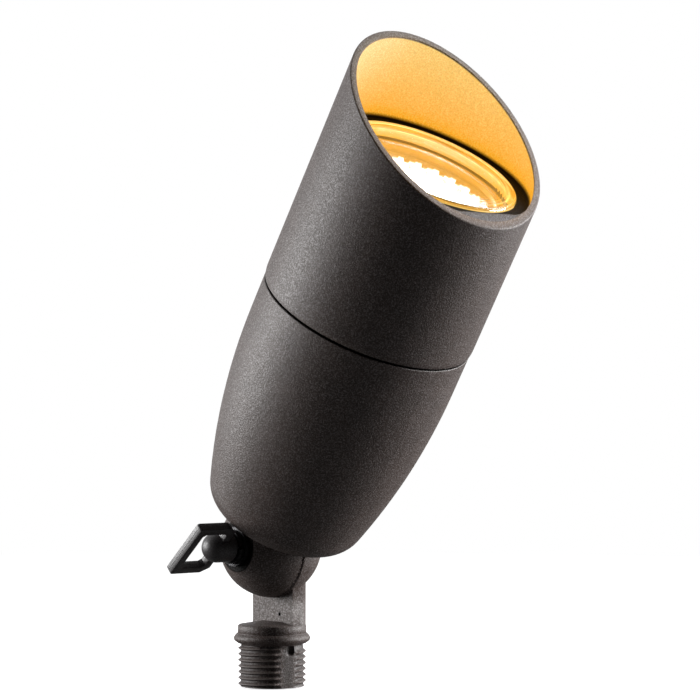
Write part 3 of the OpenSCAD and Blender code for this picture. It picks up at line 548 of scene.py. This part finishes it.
lit_quartz = bpy.data.materials.new("lit_quartz")
add = emptied_tree(lit_quartz)
_, parts, _ = head_place_of(add)
filament = spread(add, parts["Z"], bowl_low + 0.002, bowl_low + 0.006, 0.3, 1, "SMOOTHSTEP")
principled(add, {
    "Base Color": (1, 1, 1, 1), "Roughness": 0.05, "IOR": 1.46, "Transmission Weight": 1.0,
    "Emission Color": scaled(add, (1.0, 0.90, 0.70), filament), "Emission Strength": 6.0})
finish_node("lamp_burner", lit_quartz)

cover_glass = bpy.data.materials.new("cover_glass")
add = emptied_tree(cover_glass)
place = add("ShaderNodeTexCoord").outputs["Object"]
haze = add("ShaderNodeTexNoise", {"Vector": place, "Scale": 300.0}).outputs["Fac"]
principled(add, {
    "Base Color": (0.96, 0.98, 0.97, 1), "Roughness": spread(add, haze, 0.3, 0.7, 0.01, 0.05), "IOR": 1.46,
    "Transmission Weight": 1.0})
finish_node("lamp_cover_glass", cover_glass)

# Ring on the neck: a rubber ring in a groove, which seals the cowl and holds it by friction
finish_node("neck_o_ring", rubber)


# Cowl: a cast tube with a slight draft, cut slantwise, that pushes over the housing's neck.
# Its rim is rounded by tumbling, and a ledge inside holds the lens; the lit lamp's light on its inner wall is
# painted as a glow, and the ledge and the lower edge get painted shade.
def ring_edges(bm, radius, height):
    """The edges of the circle of that radius and height round Z."""
    def on_ring(vert):
        return (abs(hypot(vert.co.x, vert.co.y) - radius) < weld_gap
                and abs(vert.co.z - height) < weld_gap)
    return [edge for edge in bm.edges if on_ring(edge.verts[0]) and on_ring(edge.verts[1])]


def round_rings(bm, corners, segments=3):
    """Rounds turned corners, each given as (radius, height, size of the round)."""
    for radius, height, size in corners:
        bmesh.ops.bevel(bm, geom=ring_edges(bm, radius, height), offset=size, segments=segments, profile=0.5,
                        affect="EDGES", material=-1, clamp_overlap=True)


def turn_past(vert, first):
    """How far a vertex is round the axis past another, with room for rounding."""
    turn = atan2(vert.co.y, vert.co.x) - atan2(first.co.y, first.co.x)
    return (turn + turn_slack) % (2 * pi)


cowl_r = 0.03295
cowl_ir = 0.03075
cowl_low = seam_h + 0.00045
seam_step = 0.0003
seam_chamfer = 0.0016
cowl_draft = 0.00015
rim_h = seam_h + 0.062
rim_angle = radians(24)
rim_round = 0.00042
ledge_top = seam_h + 0.0495
ledge_low = ledge_top - 0.0020
ledge_ir = 0.0271
cowl_top = rim_h + cowl_r * tan(rim_angle) + 0.001
cowl_steps = 160
turn_slack = 5e-4
foot_round = 0.0002
chamfer_round = 0.0005
ledge_round = 0.0003
ledge_fillet = 0.0011
cowl_bm = bmesh.new()
turn_outline(cowl_bm, [
    (cowl_ir, cowl_low), (cowl_r - seam_step, cowl_low), (cowl_r, cowl_low + seam_chamfer),
    (cowl_r - cowl_draft, cowl_top), (cowl_ir, cowl_top), (cowl_ir, ledge_top), (ledge_ir, ledge_top),
    (ledge_ir, ledge_low), (cowl_ir, ledge_low)], steps=cowl_steps)
round_rings(cowl_bm, [(cowl_r, cowl_low + seam_chamfer, chamfer_round),
                      (cowl_r - seam_step, cowl_low, foot_round), (ledge_ir, ledge_top, ledge_round)])
round_rings(cowl_bm, [(cowl_ir, ledge_top, ledge_fillet)], segments=5)
rim_normal = (sin(rim_angle), 0, cos(rim_angle))
cut = plane_cut(cowl_bm, (0, 0, rim_h), rim_normal)
cut_edges = [item for item in cut if isinstance(item, bmesh.types.BMEdge)]
cut_verts = {vert for edge in cut_edges for vert in edge.verts}
cut_outer = {vert for vert in cut_verts if hypot(vert.co.x, vert.co.y) > (cowl_r + cowl_ir) / 2}
# The cut face is a band of faces, one to each step round the axis, from the outer edge to the inner one
start_vert = min(cut_outer, key=lambda vert: atan2(vert.co.y, vert.co.x))
outer_loop = sorted(cut_outer, key=lambda vert: turn_past(vert, start_vert))
for first, second in zip(outer_loop, outer_loop[1:] + outer_loop[:1]):
    step = turn_past(second, first) + 2 * turn_slack
    inner = [vert for vert in cut_verts - cut_outer if turn_past(vert, first) < step]
    inner.sort(key=lambda vert: turn_past(vert, first))
    cowl_bm.faces.new([first, second] + inner[::-1])
rim_edges = [edge for edge in cowl_bm.edges if all(vert in cut_outer for vert in edge.verts)]
bmesh.ops.recalc_face_normals(cowl_bm, faces=cowl_bm.faces)
bmesh.ops.bevel(cowl_bm, geom=rim_edges, offset=rim_round, segments=4, profile=0.5, affect="EDGES",
                material=-1, clamp_overlap=False)
cowl = as_piece("cowl_casting", cowl_bm, sharp=35, place=on_head)

glow_low = (0.99, 0.41, 0.012, 1)
glow_high = (0.95, 0.60, 0.155, 1)
glow_rise = 0.024
rim_skin = 0.0003
shadow_low = ledge_top + 0.0003
ledge_shadow = (0.004, 0.003, 0.003, 1)
glow_coat, tree, add, _, powder, surface = grained("cowl_coat", **coat_look)
on_axis, parts, radius = head_place_of(add)
# The lamp's light is painted as a glow on the wall between the ledge's painted shadow and the rim, and a
# little of it on the rim's inner edge
inside = spread(add, radius, cowl_ir + 0.00002, cowl_ir + 0.00012, 1, 0)
above = spread(add, parts["Z"], shadow_low, ledge_top + 0.0017, kind="SMOOTHSTEP")
rim_depth = along_line(add, on_axis, rim_normal)
rim_plane = rim_h * cos(rim_angle)
below_rim = spread(add, rim_depth, rim_plane - 0.0007, rim_plane - rim_skin, 1, 0)
on_rim = spread(add, rim_depth, rim_plane - rim_skin, rim_plane - 0.0001)
rim_glow = times(add, times(add, on_rim, spread(add, radius, cowl_ir - 0.0004, cowl_ir - 0.0001)),
                 spread(add, radius, cowl_ir, cowl_r - 0.0002, 0.08, 0.02))
lit = plus(add, times(add, times(add, inside, above), below_rim), rim_glow)
glow = colour_mix(add, spread(add, parts["Z"], ledge_top, ledge_top + glow_rise), glow_low, glow_high)
grit = spread(add, powder.outputs["Height"], 0.35, 0.65, 0.86, 1.03)
off_rim = spread(add, on_rim, 0, 1, 1, 0)
on_ledge = times(add, times(add, inside, off_rim),
                 spread(add, parts["Z"], shadow_low, ledge_top + 0.0012, 1, 0))
# The cowl's lower edge at the seam gets painted shade
off_seam_shade = spread(add, parts["Z"], cowl_low + 0.00014, cowl_low + 0.00028, seam_shade_tone, 1)
coat_colour = colour_mix(add, on_ledge, powder.outputs["Colour"], ledge_shadow)
shine = times(add, off_seam_shade, spread(add, on_ledge, 0, 1, 0.5, 0.05))
tree.links.new(scaled(add, coat_colour, off_seam_shade), surface.inputs["Base Color"])
tree.links.new(shine, surface.inputs["Specular IOR Level"])
tree.links.new(scaled(add, glow, times(add, lit, grit)), surface.inputs["Emission Color"])
surface.inputs["Emission Strength"].default_value = 1.0
cowl.data.materials.append(glow_coat)
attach(cowl, "cowl")
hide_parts("cowl")

# Lens: a thick pressed disc of clear glass, whose flange is clamped under the cowl's ledge. Pressed rings
# round its edge catch the lamp's light, painted on them as emission, and the amber tint of its rounded edge
# stands in for the lamp's light there; the middle is so bright that it shows white.
lens_flange_r = 0.03045
lens_r = 0.0268
lens_top = ledge_top + 0.0008
lens_round = 0.0009
flange_top = ledge_low - 0.0010
flange_low = flange_top - 0.00218
flange_round = 0.0003
ridge_half_w = 0.00022
ridge_depth = 0.00003
middle_r = 0.0202
flange_support = 0.0005
lens_support = 0.0011
rings_from = 0.0190
lens_bm = bmesh.new()
# A second ring of points inside each rounded edge keeps the shading of the flat faces flat, and so what shows
# through them
outline = [(0, flange_low), (lens_flange_r - flange_support, flange_low), (lens_flange_r, flange_low),
           (lens_flange_r, flange_top), (lens_r, flange_top), (lens_r, lens_top),
           (lens_r - lens_support, lens_top)]
for ridge_r in (0.0244, 0.0235, 0.0226, 0.0217, 0.0208):
    outline += [(ridge_r, lens_top), (ridge_r - ridge_half_w, lens_top - ridge_depth),
                (ridge_r - 2 * ridge_half_w, lens_top)]
outline += [(middle_r, lens_top), (0, lens_top)]
turn_outline(lens_bm, outline, steps=160, closed=False)
round_rings(lens_bm, [(lens_r, lens_top, lens_round)], segments=5)
round_rings(lens_bm, [(lens_flange_r, flange_low, flange_round), (lens_flange_r, flange_top, flange_round)])
lens = as_piece("lens_glass", lens_bm, sharp=32, place=on_head)

lens_glass = bpy.data.materials.new("lens_glass")
add = emptied_tree(lens_glass)
on_axis, _, radius = head_place_of(add)
rings = add("ShaderNodeValToRGB", {"Fac": spread(add, radius, rings_from, lens_r)})
stops = [(0.0, (0.0, 0.0, 0.0)), (0.12, (0.10, 0.05, 0.01)), (0.33, (0.02, 0.01, 0.0)),
         (0.36, (0.14, 0.07, 0.01)), (0.47, (0.05, 0.02, 0.0)), (0.51, (0.55, 0.36, 0.11)),
         (0.54, (0.02, 0.01, 0.0)), (0.62, (0.12, 0.06, 0.01)), (0.69, (0.90, 0.64, 0.26)),
         (0.73, (0.30, 0.18, 0.05)), (0.78, (0.03, 0.01, 0.0)), (0.84, (0.16, 0.09, 0.02)),
         (1.0, (0.30, 0.18, 0.04))]
elements = rings.color_ramp.elements
for spot, _ in stops[1:-1]:
    elements.new(spot)
for element, (_, colour) in zip(elements, stops):
    element.color = (*colour, 1)
streak = add("ShaderNodeTexNoise", {"Vector": on_axis, "Scale": 55.0, "Detail": 1.0}).outputs["Fac"]
by_edge = spread(add, radius, lens_r - 0.0013, lens_r - 0.0006)
principled(add, {
    "Base Color": colour_mix(add, by_edge, (1.0, 0.98, 0.93, 1), (0.92, 0.60, 0.20, 1)),
    "Roughness": 0.03, "IOR": 1.47, "Transmission Weight": 1.0,
    "Emission Color": scaled(add, rings.outputs["Color"], spread(add, streak, 0.38, 0.62, 0.25, 1.1)),
    "Emission Strength": 0.8})
lens.data.materials.append(lens_glass)
# The side of the raised middle is ground, and the lamp's light in it is painted as an amber glow
ground_edge = grained("ground_edge", (0.30, 0.20, 0.08), speck_colour=(0.5, 0.38, 0.2), speck_share=0.4,
                      grain_scale=1500, relief=0.1, rough=(0.7, 0.5), Emission_Color=(0.95, 0.60, 0.14, 1),
                      Emission_Strength=0.85)[0]
lens.data.materials.append(ground_edge)
side_slack = 0.00003
for face in lens.data.polygons:
    middle = on_head.inverted() @ face.center
    if abs(hypot(middle.x, middle.y) - lens_r) < side_slack and middle.z > flange_top:
        face.material_index = 1
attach(lens, "cowl")
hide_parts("lens")

# Behind the lens: a rubber gasket over its flange, and the aluminium ring with four slots that screws in
# from below and clamps it. The ring's amber glow is painted light, for the lamp's light on it seen through the
# lens.
clamp_metal = grained("clamp_metal", (0.11, 0.11, 0.11), speck_colour=(0.2, 0.2, 0.2), speck_share=0.4,
                      grain_scale=900, relief=0.1, rough=(0.5, 0.38), Metallic=1.0,
                      Emission_Color=(1.0, 0.46, 0.03, 1), Emission_Strength=1.05)[0]
finish_node("lens_gasket", rubber)
finish_node("lens_clamp_ring", clamp_metal)

# Washers under the wing: a flat one on the knuckle's boss and a split spring washer over it, both of steel
# coloured near black.
black_steel = grained("black_steel", (0.020, 0.019, 0.020), speck_colour=(0.07, 0.07, 0.075), speck_share=0.5,
                      grain_scale=1100, relief=0.12, rough=(0.5, 0.36), Metallic=0.8)[0]
finish_node("flat_washer", black_steel)
finish_node("spring_washer", black_steel)

# Wing: a flat rectangular loop, die cast in one piece with its domed hub, with a fine parting line round it.
# It turns on an M6 stud, and its hub presses on the two washers.
wing_rest_turn = radians(42)
loop_l = 0.0206
loop_t = 0.00275
loop_low = 0.0206
loop_end = 0.0349
bar_w = 0.0026
loop_round = 0.0008
slant_l = 0.0021
slant_d = 0.0027
window_chamfer = 0.0009
edge_round = 0.00018
parting_w = 0.00006
parting_depth = 0.00008
hub_r = 0.0046
hub_low = 0.0173
hub_tip = 0.0266
hub_edge = 0.0004
hub_dome = hub_r - 0.0002
stud_r = 0.00302
stud_top = 0.0241
square_slack = 0.01
on_screw = Matrix.Translation(joints["wing_turn"]["pos_m"]) @ Matrix.Rotation(radians(90), 4, "X")
on_wing = on_screw @ Matrix.Rotation(wing_rest_turn, 4, "Z")
half_l, half_t = loop_l / 2, loop_t / 2
window_l, window_low, window_end = half_l - bar_w, loop_low + bar_w, loop_end - bar_w
loop_outline = [(slant_l - half_l, loop_low), (half_l - slant_l, loop_low), (half_l, loop_low + slant_d),
                (half_l, loop_end), (-half_l, loop_end), (-half_l, loop_low + slant_d)]
window_outline = [(-window_l, window_low), (window_l, window_low), (window_l, window_end),
                  (-window_l, window_end)]
wing_bm = bmesh.new()
for outline, rounded, size, segments in ((loop_outline, (3, 4), loop_round, 5),
                                         (window_outline, (0, 1, 2, 3), window_chamfer, 1)):
    verts = [wing_bm.verts.new((x, -half_t, z)) for x, z in outline]
    for pair in zip(verts, verts[1:] + verts[:1]):
        wing_bm.edges.new(pair)
    bmesh.ops.bevel(wing_bm, geom=[verts[i] for i in rounded], offset=size, segments=segments, profile=0.5,
                    affect="VERTICES", material=-1)
bmesh.ops.bridge_loops(wing_bm, edges=wing_bm.edges[:])
thick = bmesh.ops.extrude_face_region(wing_bm, geom=wing_bm.faces[:])["geom"]
bmesh.ops.translate(wing_bm, verts=[item for item in thick if isinstance(item, bmesh.types.BMVert)],
                    vec=(0, loop_t, 0))
bmesh.ops.recalc_face_normals(wing_bm, faces=wing_bm.faces)
rims = [edge for edge in wing_bm.edges
        if len(edge.link_faces) == 2 and abs(abs(edge.calc_face_angle()) - pi / 2) < square_slack
        and all(abs(abs(vert.co.y) - half_t) < weld_gap for vert in edge.verts)]
bmesh.ops.bevel(wing_bm, geom=rims, offset=edge_round, segments=2, profile=0.5, affect="EDGES", material=-1)
for depth in (-parting_w, 0, parting_w):
    plane_cut(wing_bm, (0, depth, 0), (0, 1, 0), clear=False)
wing_bm.normal_update()
parting = [(vert, vert.normal.copy()) for vert in wing_bm.verts if abs(vert.co.y) < cut_gap]
for vert, normal in parting:
    vert.co -= normal * parting_depth
turn_outline(wing_bm, [(0, stud_top), (stud_r, stud_top), (stud_r, hub_low), (hub_r - hub_edge, hub_low),
                       (hub_r, hub_low + hub_edge), (hub_r, hub_tip), (0, hub_tip)], steps=64, closed=False)
round_rings(wing_bm, [(hub_r, hub_tip, hub_dome)], segments=9)
wing = as_piece("wing_casting", wing_bm, sharp=32, place=on_wing)
wing_coat = grained("wing_coat", (0.030, 0.026, 0.026), speck_colour=(0.20, 0.19, 0.20), speck_share=0.35,
                    grain_scale=2600, relief=0.25, rough=(0.50, 0.36))[0]
wing.data.materials.append(wing_coat)
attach(wing, "wing")
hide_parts("wing_handle")
finish_node("wing_stud", satin_steel)
